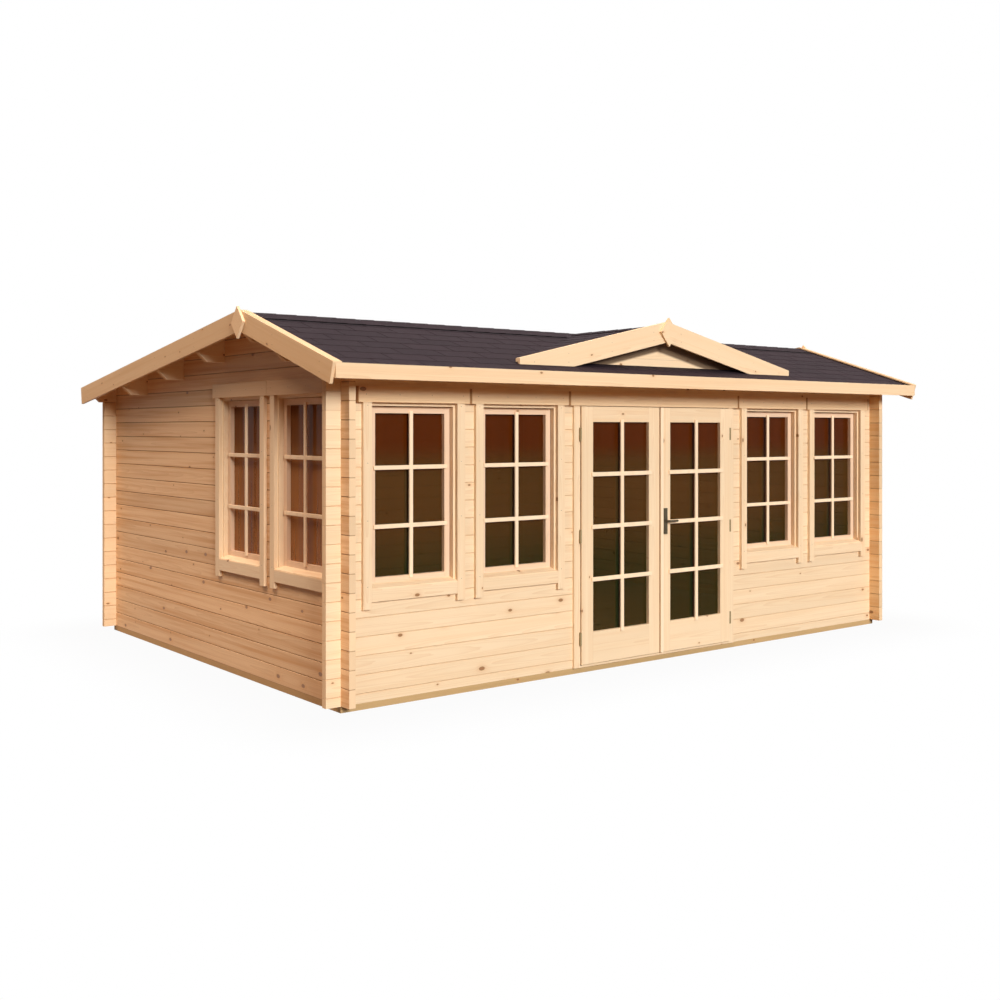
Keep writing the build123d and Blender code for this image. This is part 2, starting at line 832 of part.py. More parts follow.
with BuildPart() as frame_hinges:
    for side in (-1, 1):
        for height in hinge_heights:
            middle = foot + height
            z_span = (middle - hinge_height / 2, middle - hinge_slit / 2)
            rod_z(side * hinge_x, hinge_y, z_span, hinge_radius)
            pin = (middle - hinge_slit / 2, middle + hinge_pin_length)
            rod_z(side * hinge_x, hinge_y, pin, hinge_pin_radius)
            y_span = (hinge_y, front_y - casing_thickness)
            rod_y(side * hinge_x, middle - half_barrel / 2, y_span, hinge_stud_radius)
save("frame_hinges", frame_hinges.part)

with BuildPart() as handle_plates:
    for face, outward in ((-leaf_proud, -1), (leaf_back, 1)):
        span = (lever_x - plate_width / 2, lever_x + plate_width / 2)
        depth = sorted((face, face + outward * plate_thickness))
        z_span = (lever_z - plate_height / 2, lever_z + plate_height / 2)
        wall_block("front", span, depth, z_span)
    y_span = (front_y - leaf_proud - plate_thickness, front_y + leaf_back + plate_thickness)
    rod_y(lever_x, lever_z, y_span, spindle_hole_radius, Mode.SUBTRACT)
save("handle_plates", handle_plates.part)

with BuildPart() as door_lever:
    arms = []
    for face, outward in ((-leaf_proud, -1), (leaf_back, 1)):
        seat = face + outward * (plate_thickness + neck_gap)
        tip = face + outward * (plate_thickness + lever_standoff)
        y_span = sorted((front_y + seat, front_y + tip))
        rod_y(lever_x, lever_z, y_span, neck_radius)
        arms.append(tip)
        depth = sorted((tip, tip - outward * lever_section))
        span = (lever_x - neck_radius, lever_x + lever_length)
        z_span = (lever_z - lever_section / 2, lever_z + lever_section / 2)
        wall_block("front", span, depth, z_span)
    y_span = (front_y + min(arms), front_y + max(arms))
    rod_y(lever_x, lever_z, y_span, spindle_radius)
save("door_lever", door_lever.part)
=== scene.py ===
import math

import bpy
import numpy as np
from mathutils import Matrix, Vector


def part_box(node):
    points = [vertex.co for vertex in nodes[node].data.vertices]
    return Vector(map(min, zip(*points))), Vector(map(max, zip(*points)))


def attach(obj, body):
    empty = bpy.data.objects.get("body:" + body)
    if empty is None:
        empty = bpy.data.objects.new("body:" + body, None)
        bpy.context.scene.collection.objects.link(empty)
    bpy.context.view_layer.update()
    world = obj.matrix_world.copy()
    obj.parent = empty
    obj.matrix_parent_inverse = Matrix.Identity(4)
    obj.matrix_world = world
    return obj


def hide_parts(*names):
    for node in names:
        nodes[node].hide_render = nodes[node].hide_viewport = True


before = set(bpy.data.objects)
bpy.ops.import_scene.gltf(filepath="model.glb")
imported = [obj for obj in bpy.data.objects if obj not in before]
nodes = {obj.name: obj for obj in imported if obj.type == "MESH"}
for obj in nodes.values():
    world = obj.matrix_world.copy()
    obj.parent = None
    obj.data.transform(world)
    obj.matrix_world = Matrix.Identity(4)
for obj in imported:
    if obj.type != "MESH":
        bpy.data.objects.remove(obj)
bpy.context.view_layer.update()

print("frame loaded:", len(nodes), "nodes")

# what the cabin's pieces share, in metres

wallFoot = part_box("front_wall_left")[0].z
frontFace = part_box("front_wall_left")[0].y
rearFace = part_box("rear_wall")[1].y
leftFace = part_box("bearers")[0].x
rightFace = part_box("bearers")[1].x
ridgeY = (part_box("ridge_beam")[0].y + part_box("ridge_beam")[1].y) / 2
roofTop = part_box("gable_cap_left")[1].z
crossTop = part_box("dormer_bargeboards")[1].z

logs = {"height": 0.114, "jointEdges": (0.0042, 0.0012)}
roof = {"front": 0.32, "rear": 0.1377, "cross": 0.228, "shingle": 0.006}
windows = {
    "pitch": 0.842,
    "offset": 1.288,
    "lift": 0.057,
    "trimInner": 0.317,
    "frameInner": 0.302,
    "sashInner": 0.258,
    "sill": 0.684,
    "head": 1.798,
    "sashFace": 0.038,
    "trimMiddle": 0.347,
    "frameMiddle": 0.316,
    "headerMiddle": 1.867,
    # bounds of the painted shadow at the header boards' ends
    "headerGapShadow": (0.4085, 0.4135),
}
doors = {
    "gap": 0.008,
    "width": 0.757,
    "stile": 0.106,
    "foot": 0.020,
    "head": 1.814,
    "footRail": 0.220,
    "headRail": 0.108,
    "proud": 0.030,
    "openingHalf": 0.85,
}


# shader maths

class Value:
    # a socket; arithmetic on it adds Math nodes to its graph
    def __init__(self, graph, socket):
        self.graph = graph
        self.socket = socket

    def also(self, name):
        return Value(self.graph, self.socket.node.outputs[name])

    def __add__(self, other):
        return self.graph.maths("ADD", self, other)

    def __radd__(self, other):
        return self.graph.maths("ADD", other, self)

    def __sub__(self, other):
        return self.graph.maths("SUBTRACT", self, other)

    def __rsub__(self, other):
        return self.graph.maths("SUBTRACT", other, self)

    def __mul__(self, other):
        return self.graph.maths("MULTIPLY", self, other)

    def __rmul__(self, other):
        return self.graph.maths("MULTIPLY", other, self)

    def __truediv__(self, other):
        return self.graph.maths("DIVIDE", self, other)

    def __rtruediv__(self, other):
        return self.graph.maths("DIVIDE", other, self)

    def __pow__(self, other):
        return self.graph.maths("POWER", self, other)

    def __mod__(self, other):
        return self.graph.maths("FLOORED_MODULO", self, other)

    def __gt__(self, other):
        return self.graph.maths("GREATER_THAN", self, other)

    def __lt__(self, other):
        return self.graph.maths("LESS_THAN", self, other)

    def __abs__(self):
        return self.graph.maths("ABSOLUTE", self)

    def floor(self):
        return self.graph.maths("FLOOR", self)

    def sqrt(self):
        return self.graph.maths("SQRT", self)


class Graph:
    # one material's or world's node tree
    def __init__(self, owner):
        owner.use_nodes = True
        self.owner = owner
        self.tree = owner.node_tree
        self.tree.nodes.clear()

    def node(self, kind, settings=None, inputs=None, out=0):
        made = self.tree.nodes.new("ShaderNode" + kind)
        for key, value in (settings or {}).items():
            setattr(made, key, value)
        for key, value in (inputs or {}).items():
            if isinstance(value, Value):
                self.tree.links.new(value.socket, made.inputs[key])
            else:
                made.inputs[key].default_value = value
        return Value(self, made.outputs[out]) if len(made.outputs) else None

    def maths(self, operation, *values):
        return self.node("Math", {"operation": operation}, dict(enumerate(values)))

    def vector(self, x, y, z):
        return self.node("CombineXYZ", None, {"X": x, "Y": y, "Z": z})

    def split(self, vector):
        parts = self.node("SeparateXYZ", None, {0: vector})
        return parts, parts.also("Y"), parts.also("Z")

    def place(self):
        return self.split(self.node("TexCoord", out="Object"))

    def facing(self):
        return self.split(self.node("TexCoord", out="Normal"))

    def noise(self, vector, scale=1.0, detail=2.0, roughness=0.5):
        inputs = {"Vector": vector, "Scale": scale, "Detail": detail, "Roughness": roughness}
        return self.node("TexNoise", None, inputs)

    def random(self, number):
        return self.node("TexWhiteNoise", {"noise_dimensions": "1D"}, {"W": number})

    def smooth(self, value, low, high):
        # 0 below low, 1 above high, an S-shaped curve between
        inputs = {"Value": value, "From Min": low, "From Max": high}
        return self.node("MapRange", {"interpolation_type": "SMOOTHSTEP"}, inputs)

    def choose(self, factor, low, high):
        # low where factor is 0 and high where it is 1, for numbers
        return low + (high - low) * factor

    def mix(self, factor, low, high):
        inputs = {0: factor, 6: opaque(low), 7: opaque(high)}
        return self.node("Mix", {"data_type": "RGBA"}, inputs, out=2)

    def scale(self, colour, factor):
        return self.node("VectorMath", {"operation": "SCALE"}, {0: colour, "Scale": factor})

    def bump(self, height, strength, distance):
        return self.node("Bump", None, {"Height": height, "Strength": strength, "Distance": distance})

    def surface(self, inputs):
        shader = self.node("BsdfPrincipled", None, inputs)
        self.node("OutputMaterial", None, {"Surface": shader})
        return self.owner


def opaque(colour):
    return (*colour, 1.0) if isinstance(colour, tuple) and len(colour) == 3 else colour


def newGraph(name):
    return Graph(bpy.data.materials.new(name))


# timber

spruce = {
    "pale": (0.90, 0.70, 0.47),
    "honey": (0.85, 0.60, 0.36),
    "late": (0.70, 0.42, 0.205),
    "knot": (0.25, 0.115, 0.045),
    "halo": (0.66, 0.33, 0.13),
    "endPale": (0.90, 0.67, 0.43),
    "endLate": (0.68, 0.41, 0.20),
    "seam": (0.42, 0.20, 0.075),
    "ringGap": 0.0055,
    "grain": 0.30,
    "streak": 0.55,
    "knotCell": 0.19,
    "knotShare": 0.46,
    "knotRadius": (0.004, 0.014),
    "knotLength": 1.8,
    "joint": 0.30,
    "boardTone": 0.10,
    "roughness": 0.62,
}


def timber(name, lay, changes=None):
    # lay gives the distance along the grain, the distance from the board's middle line, the depth,
    # the board's number, a mask for end grain and one for the joints between boards
    look = {**spruce, **(changes or {})}
    g = newGraph(name)
    along, across, depth, board, end, joint = lay(g)
    draw = g.random(board)
    tint, turn, lean = g.split(draw.also("Color"))
    along = along + tint * 40

    # knots: an ellipse round the nearest point of a random grid
    cell = look["knotCell"]
    knotPlace = g.vector(along / (cell * look["knotLength"]), across / cell + turn * 60, 0)
    knot = g.node("TexVoronoi", {"voronoi_dimensions": "2D"}, {"Vector": knotPlace, "Scale": 1.0})
    roll, size, _ = g.split(knot.also("Color"))
    reach = knot * cell
    low, high = look["knotRadius"]
    radius = low + (high - low) * size ** 2
    shown = roll < look["knotShare"]
    core = g.smooth(reach / radius, 1.12, 0.82) * shown
    rim = core * g.smooth(reach / radius, 0.45, 0.95)
    halo = shown / (1 + (reach / (radius * 1.9)) ** 2) ** 2

    # growth rings of a flat-sawn board: number = (bend * (across - lean)^2 + tilt * along + wave) / gap
    wave = g.noise(g.vector(along * 0.9, across * 11, depth * 11 + turn * 30), 1.0, 3.0) - 0.5
    off = across + (lean - 0.5) * 0.09
    bow = off * off * (6 + 8 * turn) + along * (tint - 0.5) * 0.035 + wave * 0.016
    ring = bow / look["ringGap"] + halo * 2.5
    late = g.maths("FRACT", ring) ** 3
    fibre = g.noise(g.vector(along * 9, across * 620, depth * 620), 1.0, 2.0)
    streak = g.noise(g.vector(along * 0.55, across * 26 + turn * 9, depth * 26), 1.0, 3.0, 0.6)
    cloud = g.noise(g.vector(along * 1.3, across * 5, depth * 5 + lean * 20), 1.0, 2.0)

    body = g.mix(g.smooth(streak, 0.38, 0.72) * look["streak"], look["pale"], look["honey"])
    body = g.mix(late * look["grain"], body, look["late"])
    body = g.mix(halo * 0.65, body, look["halo"])
    body = g.mix(core * 0.8, body, look["knot"])
    body = g.mix(rim * 0.45, body, look["knot"])

    # end grain: arcs round a centre outside the board
    arc = ((across + lean * 0.05) ** 2 + (depth + 0.03) ** 2).sqrt() / (look["ringGap"] * 0.8)
    pores = g.noise(g.vector(along * 20, across * 420, depth * 420), 1.0, 2.0)
    cut = g.mix(g.maths("FRACT", arc + wave) ** 2 * 0.55 + pores * 0.25, look["endPale"], look["endLate"])
    body = g.mix(end, body, cut)
    body = g.mix(joint * look["joint"], body, look["seam"])

    boardTone = 1 - look["boardTone"] * 0.5 + look["boardTone"] * lean
    tone = boardTone + (cloud - 0.5) * 0.10 + (fibre - 0.5) * 0.09
    height = fibre * 0.5 + streak * 0.4 - late * 0.45 - core * 0.5 - joint * 1.2
    return g.surface(
        {
            "Base Color": g.scale(body, tone),
            "Roughness": look["roughness"] - late * 0.06 - core * 0.16 + end * 0.15 + (fibre - 0.5) * 0.12,
            "Specular IOR Level": 0.32,
            "Normal": g.bump(height, 0.35, 0.0009),
        }
    )


def layLogs(axis, offset):
    # logs along an axis: boards are counted by height, and the V joints lie between them
    def lay(g):
        x, y, z = g.place()
        nx, ny, _ = g.facing()
        along, depth, turned = (x, y, nx) if axis == "x" else (y, x, ny)
        number = (z - wallFoot) / logs["height"] + offset
        across = (number % 1.0 - 0.5) * logs["height"]
        outer, inner = (logs["height"] / 2 - edge for edge in logs["jointEdges"])
        joint = g.smooth(abs(across), outer, inner)
        inside = depth > (frontFace + 0.02 if axis == "x" else 0)
        board = number.floor() * 7.13 + inside * 3.7
        if axis == "x":
            # the front wall is parted by the doors, so its logs change there
            board = board + (along > 0) * (depth < 0) * 1.9
        return along, across, depth, board, abs(turned) > 0.7, joint * (1 - (abs(turned) > 0.7) * 0.3)
    return lay


def layBoards(axis, pitch, across="z", gap=0.0012, ends=True, start=0.0):
    # boards side by side along an axis, one every pitch
    def lay(g):
        parts = dict(zip("xyz", g.place()))
        turned = dict(zip("xyz", g.facing()))
        number = (parts[across] - start) / pitch
        local = (number % 1.0 - 0.5) * pitch
        joint = g.smooth(abs(local), pitch / 2 - gap * 1.6, pitch / 2 - gap * 0.5)
        third = ({"x", "y", "z"} - {axis, across}).pop()
        end = (abs(turned[axis]) > 0.7) * (1.0 if ends else 0.0)
        return parts[axis], local, parts[third], number.floor() * 5.31, end, joint
    return lay


def layPlank(axis, across, middle, seed=0.0):
    # one plank along an axis, its middle line at a fixed place
    def lay(g):
        parts = dict(zip("xyz", g.place()))
        turned = dict(zip("xyz", g.facing()))
        third = ({"x", "y", "z"} - {axis, across}).pop()
        board = (parts[third] > 0) * 3.1 + seed
        return parts[axis], parts[across] - middle, parts[third], board, abs(turned[axis]) > 0.8, 0.0
    return lay


def layGable(middle, seed):
    # boards and timbers that follow the main roof: their middle line is a constant drop under it
    def lay(g):
        x, y, z = g.place()
        _, ny, _ = g.facing()
        front = y < ridgeY
        fall = g.choose(front, roof["rear"], roof["front"])
        across = z - roofTop + fall * abs(y - ridgeY) + middle
        board = front * 2.3 + (x > 0) * 1.1 + seed
        return y, across, x, board, abs(ny) > 0.7, 0.0
    return lay


def layPurlins(g):
    # timbers along x, counted by y
    x, y, z = g.place()
    nx, _, _ = g.facing()
    front = y < ridgeY
    fall = g.choose(front, roof["rear"], roof["front"])
    across = z - roofTop + fall * abs(y - ridgeY) + 0.116
    return x, across, y, (y * 3).floor(), abs(nx) > 0.6, 0.0


def layCross(middle, seed):
    # boards that follow the cross gable's slopes
    def lay(g):
        x, y, z = g.place()
        nx, _, _ = g.facing()
        across = z - roofTop + roof["cross"] * abs(x) + middle
        return x, across, y, (x > 0) * 2.7 + seed, abs(nx) > 0.7, 0.0
    return lay


def layPanel(g):
    # level boards, darkened in a band under the cross gable's boards: a painted shadow of those boards
    along, across, depth, board, end, joint = layBoards("x", 0.095, "z", start=0.02)(g)
    x, _, z = g.place()
    under = crossTop - roof["cross"] * abs(x) - z
    paintedShadow = g.smooth(under, 0.212, 0.192)
    return along, across, depth, board, end, g.maths("MAXIMUM", joint * 0.35, paintedShadow)


def windowPlace(g):
    # place in a window: u from its middle, height, depth, and the window's number
    x, y, z = g.place()
    nx, ny, nz = g.facing()
    onLeft = x < leftFace + 0.0905
    pitch, offset = windows["pitch"], windows["offset"]
    away = abs(x) - offset + pitch / 2
    uFront = away % pitch - pitch / 2
    uLeft = (y - ridgeY) % pitch - pitch / 2
    u = g.choose(onLeft, uFront, uLeft)
    depth = g.choose(onLeft, y, x)
    number = g.choose(onLeft, (away / pitch).floor() + (x > 0) * 2, (y > ridgeY) + 5)
    return u, z - onLeft * windows["lift"], depth, number, g.choose(onLeft, abs(nx), abs(ny)), abs(nz)


def joinery(g, u, z, depth, number, limit, stileMiddle, railFoot, railHead, sideways, upright):
    # stiles with upright grain beyond the limit, rails between them; end grain on their ends
    stile = abs(u) > limit
    middle = (railFoot + railHead) / 2
    upper = z > middle
    acrossRail = z - g.choose(upper, railFoot, railHead)
    along = g.choose(stile, u, z)
    across = g.choose(stile, acrossRail, abs(u) - stileMiddle)
    board = number * 11.3 + stile * 5.7 + g.choose(stile, upper, u > 0) * 2.9
    seam = g.smooth(abs(abs(u) - limit), 0.0011, 0.0003)
    end = g.choose(stile, sideways > 0.7, upright > 0.7)
    return along, across, depth, board, end, seam * 0.7


def layTrim(g):
    u, z, depth, number, _, upright = windowPlace(g)
    foot = wallFoot + windows["sill"]
    limit, middle = windows["trimInner"], windows["trimMiddle"]
    return joinery(g, u, z, depth, number, limit, middle, foot - 0.038, foot + 0.02, 0 * u, upright)


def layFrame(g):
    u, z, depth, number, _, upright = windowPlace(g)
    foot, head = wallFoot + windows["sill"], wallFoot + windows["head"]
    ledge = upright * (z < foot + 0.5)
    limit, middle = windows["frameInner"], windows["frameMiddle"]
    return joinery(g, u, z, depth, number, limit, middle, foot - 0.017, head + 0.02, ledge, upright)


def laySash(g):
    u, z, depth, number, _, _ = windowPlace(g)
    foot, head = wallFoot + windows["sill"] + 0.004, wallFoot + windows["head"] - 0.004
    limit = windows["sashInner"]
    return joinery(g, u, z, depth, number, limit, limit + 0.02, foot + 0.03, head - 0.02, 0 * u, 0 * u)


def layHeader(g):
    # boards end in a dark edge beside each window, a painted shadow standing for a wider gap than the one
    # built; over the doors there is one board, and on the left wall (numbers 5 and 6) an even darker tone
    # instead of edges, painted shade
    u, z, depth, number, sideways, _ = windowPlace(g)
    x, _, _ = g.place()
    besideDoors = abs(x) > doors["openingHalf"]
    edge = g.smooth(abs(u), *windows["headerGapShadow"]) * besideDoors
    joint = g.choose(number > 4.5, edge, 0.32)
    return u, z - wallFoot - windows["headerMiddle"], depth, number * 3.3 * besideDoors, sideways > 0.8, joint


def layLeaf(g):
    x, y, z = g.place()
    u = abs(x) - doors["gap"] / 2 - doors["width"] / 2
    limit = doors["width"] / 2 - doors["stile"]
    middle = doors["width"] / 2 - doors["stile"] / 2
    foot = wallFoot + doors["foot"] + doors["footRail"] / 2
    head = wallFoot + doors["head"] - doors["headRail"] / 2
    return joinery(g, u, z, y, (x > 0) * 2.0, limit, middle, foot, head, 0 * u, 0 * u)


def layDoorFrame(g):
    x, y, z = g.place()
    _, _, nz = g.facing()
    return joinery(g, x, z, y, 0 * x, 0.75, 0.79, wallFoot, wallFoot + 1.84, 0 * x, abs(nz))


print("timber")
# darker, more orange timber than the front wall's, partly painted shade of the side walls; the right wall
# starts from it
shadedSideWall = {
    "pale": (0.87, 0.59, 0.345),
    "honey": (0.66, 0.35, 0.15),
    "grain": 0.55,
    "streak": 0.85,
    "boardTone": 0.20,
    "joint": 0.85,
    "seam": (0.26, 0.115, 0.04),
    "endPale": (0.93, 0.71, 0.47),
    "endLate": (0.72, 0.45, 0.225),
    "knotShare": 0.5,
}
rightWall = {**shadedSideWall, "pale": (0.97, 0.66, 0.35), "honey": (0.88, 0.51, 0.22), "grain": 0.4, "joint": 0.6}
# darker timber than the front's for the bargeboards: painted shade of the gable under the overhang
shadedGableLook = {"pale": (0.72, 0.49, 0.275), "honey": (0.61, 0.37, 0.175), "grain": 0.45, "knotShare": 0.5}
logWallFront = timber("log wall front", layLogs("x", 0.5))
rearLook = {"pale": (0.83, 0.59, 0.365), "honey": (0.77, 0.51, 0.285), "joint": 0.5}
logWallRear = timber("log wall rear", layLogs("x", 0.5), rearLook)
logWallSide = timber("log wall side", layLogs("y", 0.0), shadedSideWall)
logWallRight = timber("log wall right", layLogs("y", 0.0), rightWall)
gableTimber = timber("gable board", layGable(0.077, 1.0), shadedGableLook)
capLook = {"pale": (0.76, 0.53, 0.31), "honey": (0.68, 0.44, 0.23)}
capTimber = timber("gable cap", layGable(0.005, 4.0), capLook)
fasciaLook = {"pale": (0.88, 0.66, 0.43), "honey": (0.82, 0.55, 0.31)}
fasciaTimber = timber("fascia", layPlank("x", "z", wallFoot + 1.985, 8.0), fasciaLook)
purlinTimber = timber("purlin", layPurlins)
crossTimber = timber("cross gable board", layCross(0.070, 2.0), {"pale": (0.87, 0.66, 0.435)})
# lighter than the front timber to offset the shade the panel lies in, painted light; its dark seam colour
# paints the shadow band under the cross gable's boards
panelLook = {
    "pale": (0.97, 0.73, 0.48),
    "honey": (0.93, 0.65, 0.39),
    "joint": 0.88,
    "seam": (0.085, 0.045, 0.025),
}
panelTimber = timber("cross gable panel", layPanel, panelLook)
cream = {"pale": (0.93, 0.72, 0.49), "honey": (0.89, 0.64, 0.39), "knotShare": 0.12, "grain": 0.22}
trimTimber = timber("window trim", layTrim)
frameTimber = timber("window frame", layFrame, {"endPale": (0.56, 0.48, 0.47), "endLate": (0.48, 0.41, 0.40)})
sashLook = {"pale": (0.85, 0.62, 0.44), "honey": (0.80, 0.54, 0.34), "knotShare": 0.12, "grain": 0.22}
sashTimber = timber("window sash", laySash, sashLook)
# its joint weight sets how dark the painted shade at the boards' ends and on the left wall is
headerLook = {"pale": (0.90, 0.65, 0.40), "honey": (0.84, 0.56, 0.31), "joint": 0.9}
headerTimber = timber("header board", layHeader, headerLook)
leafTimber = timber("door leaf", layLeaf)
doorFrameTimber = timber("door frame", layDoorFrame)
deckTimber = timber("roof board", layBoards("y", 0.096, "x"))
shadedDeck = {"pale": (0.46, 0.30, 0.17), "honey": (0.38, 0.22, 0.11), "joint": 0.8}
crossDeckTimber = timber("cross gable deck", layBoards("y", 0.096, "x"), shadedDeck)
floorTimber = timber("floor board", layBoards("x", 0.090, "y"))
thresholdTimber = timber("threshold", layPlank("x", "z", wallFoot, 6.0), {"joint": 0})
# lighter than the sash timber: a painted highlight on the bars
barHighlightLook = {**cream, "pale": (0.97, 0.78, 0.56), "honey": (0.93, 0.70, 0.46), "knotShare": 0.0}
barTimber = timber("glazing bar", layPlank("z", "x", 0.0, 3.0), barHighlightLook)
treatedLook = {
    "pale": (0.62, 0.41, 0.20),
    "honey": (0.52, 0.34, 0.15),
    "late": (0.36, 0.23, 0.095),
    "endPale": (0.5, 0.32, 0.15),
}
treatedTimber = timber("treated bearer", layPlank("x", "z", 0.02, 9.0), treatedLook)


# felt, glass and metal

felt = {
    "dark": (0.0095, 0.0056, 0.0074),
    "light": (0.038, 0.0232, 0.0295),
    "grit": 900.0,
    "roughness": 0.9,
    # bounds and depth of the painted shadow below the ridge tabs
    "ridgeShadowEdges": (0.030, 0.008),
    "ridgeShadowDepth": 0.8,
    "crossingHalf": 0.22,
}
ridgeTabs = {
    "reach": 0.150,
    "crossReach": 0.118,
    "length": 0.20,
    "exposure": 0.15,
    "lift": 0.0056,
    "rise": 0.0032,
    "thickness": 0.0022,
}


def feltMaterial():
    # mineral grit: two sizes of noise over a tone for each tab
    g = newGraph("shingle felt")
    place = g.node("TexCoord", out="Object")
    grit = g.noise(place, felt["grit"], 2.0, 0.6)
    patch = g.noise(place, 7.0, 3.0)
    tone = g.node("Attribute", {"attribute_name": "tabTone"}, out="Fac")
    x, y, z = g.split(place)
    run = g.noise(g.vector(x * 3, y * 60, z * 60), 1.0, 2.0)
    mask = g.smooth(grit, 0.35, 0.75) * 0.40 + patch * 0.22 + tone * 0.16 + run * 0.22
    colour = g.mix(mask, felt["dark"], felt["light"])
    # a painted shadow: a dark line below the ridge tabs, left out where the cross gable meets them
    away = abs(y - ridgeY) - ridgeTabs["reach"]
    crossing = (abs(x) < felt["crossingHalf"]) * (y < ridgeY)
    line = (away > -0.001) * g.smooth(away, *felt["ridgeShadowEdges"]) * (1 - crossing)
    colour = g.scale(colour, 1 - line * felt["ridgeShadowDepth"])
    return g.surface(
        {
            "Base Color": colour,
            "Roughness": felt["roughness"] - grit * 0.1,
            "Specular IOR Level": 0.25,
            "Normal": g.bump(grit, 0.5, 0.0012),
        }
    )


# colours painted for the room behind the glass, its shade and light
glazing = {
    "high": (0.090, 0.018, 0.002),
    "middle": (0.070, 0.037, 0.009),
    "low": (0.014, 0.024, 0.005),
    "side": (0.42, 0.19, 0.07),
    "alpha": (0.62, 0.78),
    "levels": (0.75, 1.15, 1.42, 1.62),
    "streak": 0.5,
    "roughness": 0.03,
}


def glassMaterial():
    # painted room behind the glass: darker and redder towards the top, warmer and lighter in the side
    # windows, standing for the room's shade and light; the faint upright streaks are a painted reflection
    g = newGraph("window glass")
    x, y, z = g.place()
    ripple = g.noise(g.vector(x * 2, y * 2, z * 1.2), 1.5, 1.0)
    # upright streaks: a painted reflection
    upright = g.noise(g.vector((x + y) * 22, 0, z * 0.7), 1.0, 3.0) - 0.5
    foot, sill, rail, head = glazing["levels"]
    high = g.smooth(z, rail, head)
    colour = g.mix(g.smooth(z, foot, sill), glazing["low"], glazing["middle"])
    colour = g.mix(high, colour, glazing["high"])
    colour = g.mix((x < leftFace + 0.13) * (1 - high * 0.6), colour, glazing["side"])
    colour = g.scale(colour, 1 + upright * glazing["streak"])
    return g.surface(
        {
            "Base Color": colour,
            "Roughness": glazing["roughness"],
            "Specular IOR Level": 0.04,
            "Alpha": g.choose(high, *glazing["alpha"]),
            "Normal": g.bump(ripple, 0.1, 0.002),
        }
    )


steel = {"colour": (0.15, 0.12, 0.075), "shadow": (0.07, 0.055, 0.033), "roughness": 0.38}
brass = {"colour": (0.46, 0.35, 0.18), "shadow": (0.24, 0.17, 0.08), "roughness": 0.42}


def metal(name, look):
    # satin metal: fine upright brush lines and soft patches
    g = newGraph(name)
    x, y, z = g.place()
    brush = g.noise(g.vector(x * 900, y * 900, z * 60), 1.0, 2.0)
    patch = g.noise(g.vector(x, y, z), 30.0, 2.0)
    return g.surface(
        {
            "Base Color": g.mix(brush * 0.5 + patch * 0.3, look["colour"], look["shadow"]),
            "Metallic": 0.9,
            "Roughness": look["roughness"] + brush * 0.15,
            "Normal": g.bump(brush, 0.1, 0.0002),
        }
    )


shingleFelt = feltMaterial()
clearGlass = glassMaterial()
satinSteel = metal("satin steel", steel)
hingeBrass = metal("hinge brass", brass)

finishes = {
    logWallFront: ["front_wall_left", "front_wall_right", "front_wall_top"],
    logWallRear: ["rear_wall"],
    logWallSide: ["left_wall"],
    logWallRight: ["right_wall"],
    gableTimber: ["bargeboards_left", "bargeboards_right"],
    capTimber: ["gable_cap_left", "gable_cap_right"],
    fasciaTimber: ["fascia_front", "fascia_rear"],
    purlinTimber: ["ridge_beam", "purlins"],
    crossTimber: ["dormer_bargeboards", "dormer_cap", "apex_covers"],
    panelTimber: ["dormer_panel"],
    trimTimber: ["window_trim"],
    frameTimber: ["window_frames"],
    sashTimber: ["window_sashes"],
    headerTimber: ["header_boards"],
    leafTimber: ["door_leaf_left", "door_leaf_right"],
    doorFrameTimber: ["door_frame"],
    deckTimber: ["roof_boards_front", "roof_boards_rear"],
    crossDeckTimber: ["dormer_boards"],
    floorTimber: ["floor_boards"],
    thresholdTimber: ["threshold"],
    treatedTimber: ["bearers"],
    shingleFelt: ["shingles_front", "shingles_rear", "ridge_cap", "dormer_shingles", "dormer_ridge_cap"],
    clearGlass: ["window_glass", "door_glass_left", "door_glass_right"],
    satinSteel: ["handle_plates", "door_lever"],
    hingeBrass: ["frame_hinges", "leaf_hinges_left", "leaf_hinges_right"],
}
for material, names in finishes.items():
    for name in names:
        nodes[name].data.materials.clear()
        nodes[name].data.materials.append(material)
missing = set(nodes) - {name for names in finishes.values() for name in names}
print("finishes given, nodes without one:", missing or "none")


# mesh helpers

def addMesh(name, points, faces, material, body, slot, smooth=False):
    mesh = bpy.data.meshes.new(name)
    mesh.from_pydata(np.asarray(points).reshape(-1, 3).tolist(), [], faces)
    mesh.validate()
    mesh.shade_smooth() if smooth else mesh.shade_flat()
    mesh.materials.append(material)
    piece = bpy.data.objects.new(name, mesh)
    bpy.context.collection.objects.link(piece)
    if body:
        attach(piece, body)
    return piece


def barFaces(count, ringSize):
    # faces of count bars, each two rings of ringSize points, with closed ends
    faces = []
    for bar in range(count):
        first = bar * 2 * ringSize
        near = [first + i for i in range(ringSize)]
        far = [first + ringSize + i for i in range(ringSize)]
        following = [(i + 1) % ringSize for i in range(ringSize)]
        faces += [[near[i], near[j], far[j], far[i]] for i, j in enumerate(following)]
        faces += [near[::-1], far]
    return faces


def sweepBars(starts, ends, sides, outward, profile):
    # point = start or end + side * profile u + outward * profile v, the profile turning anticlockwise
    starts, ends, sides = (np.asarray(a, float) for a in (starts, ends, sides))
    outward, profile = np.asarray(outward, float), np.asarray(profile, float)
    if outward.ndim == 1:
        outward = np.broadcast_to(outward, starts.shape)
    lines = np.stack([starts, ends], axis=1)[:, :, None, :]
    across = sides[:, None, None, :] * profile[None, None, :, 0:1]
    out = outward[:, None, None, :] * profile[None, None, :, 1:2]
    points = lines + across + out
    # a bar whose frame is left-handed is turned inside out again by reversing its rings
    hand = np.einsum("ij,ij->i", np.cross(sides, outward), ends - starts) < 0
    points[hand] = points[hand][:, :, ::-1]
    return points, barFaces(len(starts), len(profile))


print("mesh helpers ready")

